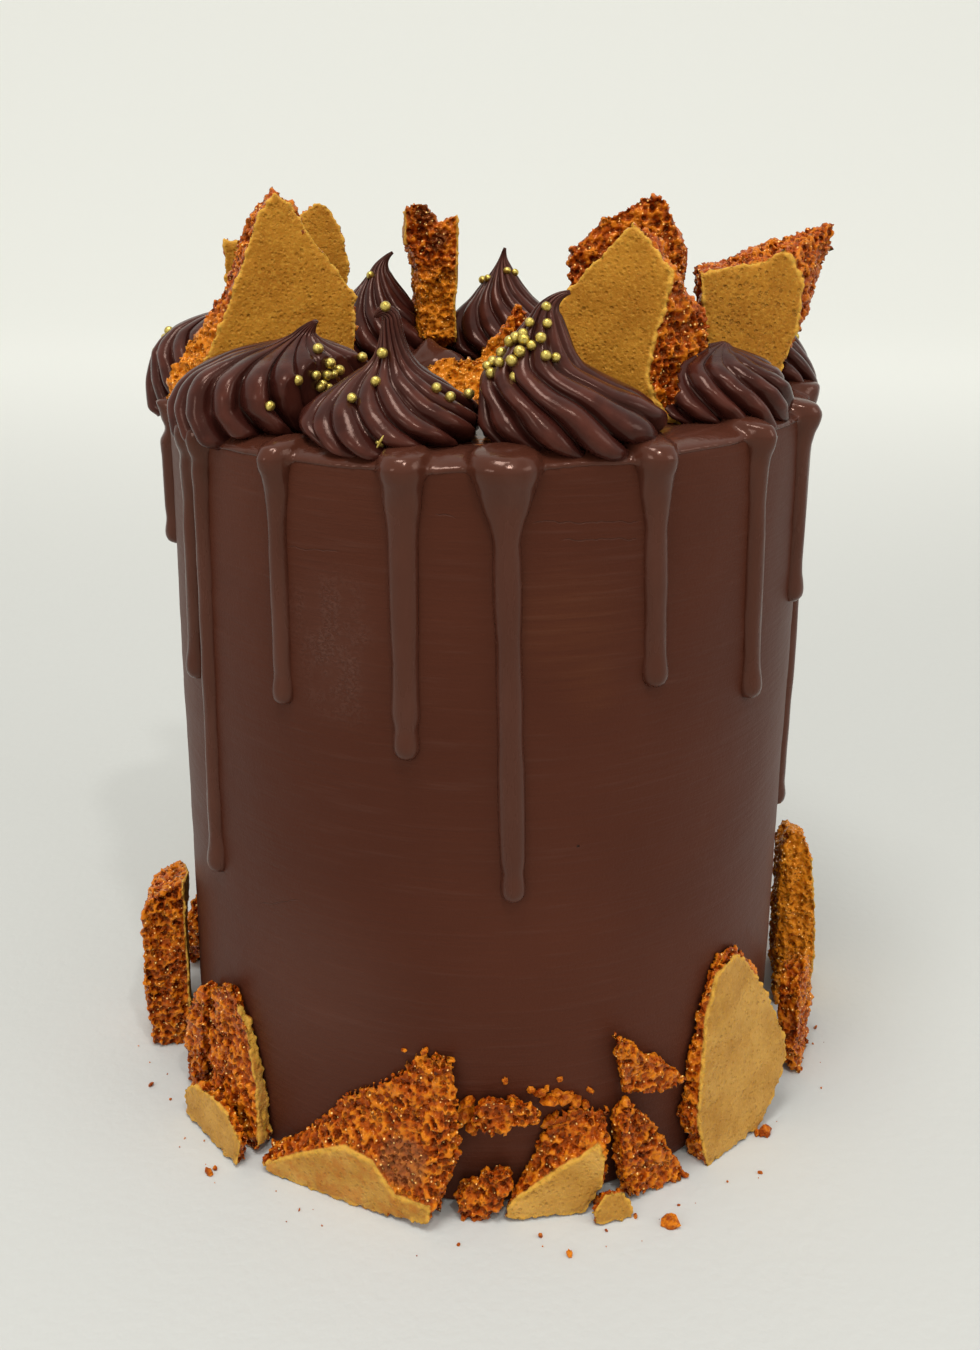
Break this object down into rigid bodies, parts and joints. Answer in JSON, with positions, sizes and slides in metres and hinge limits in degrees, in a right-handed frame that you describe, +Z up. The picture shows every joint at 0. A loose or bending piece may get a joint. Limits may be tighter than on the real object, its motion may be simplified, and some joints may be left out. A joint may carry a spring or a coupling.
{
  "type": "chocolate cake",
  "caption": "Tall round chocolate cake coated in dark ganache with drips, topped with piped swirls and honeycomb toffee shards that also lean round its foot.",
  "frame": {"origin": "the middle of the cake's foot, on the face it stands on", "axes": "+Z up through the cake, -Y the front, +X the right of the front view"},
  "size_m": [0.1955, 0.1811, 0.2321],
  "materials": {
    "ganache": "satin dark chocolate ganache",
    "piped_ganache": "glossy piped chocolate ganache with gold pearls",
    "honeycomb_toffee": "matte golden skin, glassy amber where it is broken"
  },
  "bodies": {
    "root": {"cake": "ganache", "swirl_front_left": "piped_ganache", "swirl_front": "piped_ganache", "swirl_front_right": "piped_ganache", "swirl_right_front": "piped_ganache", "swirl_right": "piped_ganache", "swirl_back_right": "piped_ganache", "swirl_back": "piped_ganache", "swirl_back_left": "piped_ganache", "swirl_left": "piped_ganache", "shard_tall_left": "honeycomb_toffee", "shard_behind_left": "honeycomb_toffee", "shard_edge_on": "honeycomb_toffee", "shard_lying": "honeycomb_toffee", "shard_pointed": "honeycomb_toffee", "shard_tall_right": "honeycomb_toffee", "shard_behind_right": "honeycomb_toffee", "shard_far_right": "honeycomb_toffee", "foot_block_left": "honeycomb_toffee", "foot_slim_left": "honeycomb_toffee", "foot_porous_left": "honeycomb_toffee", "foot_skin_left": "honeycomb_toffee", "foot_front_left": "honeycomb_toffee", "foot_curl": "honeycomb_toffee", "foot_front": "honeycomb_toffee", "foot_crumb_wall": "honeycomb_toffee", "foot_porous_front": "honeycomb_toffee", "foot_flakes": "honeycomb_toffee", "foot_stuck_high": "honeycomb_toffee", "foot_skin_right": "honeycomb_toffee", "foot_porous_right": "honeycomb_toffee", "foot_block_right": "honeycomb_toffee", "foot_back_1": "honeycomb_toffee", "foot_back_2": "honeycomb_toffee", "foot_back_3": "honeycomb_toffee", "foot_back_4": "honeycomb_toffee", "foot_back_5": "honeycomb_toffee", "foot_back_6": "honeycomb_toffee", "foot_back_7": "honeycomb_toffee"}
  },
  "joints": []
}
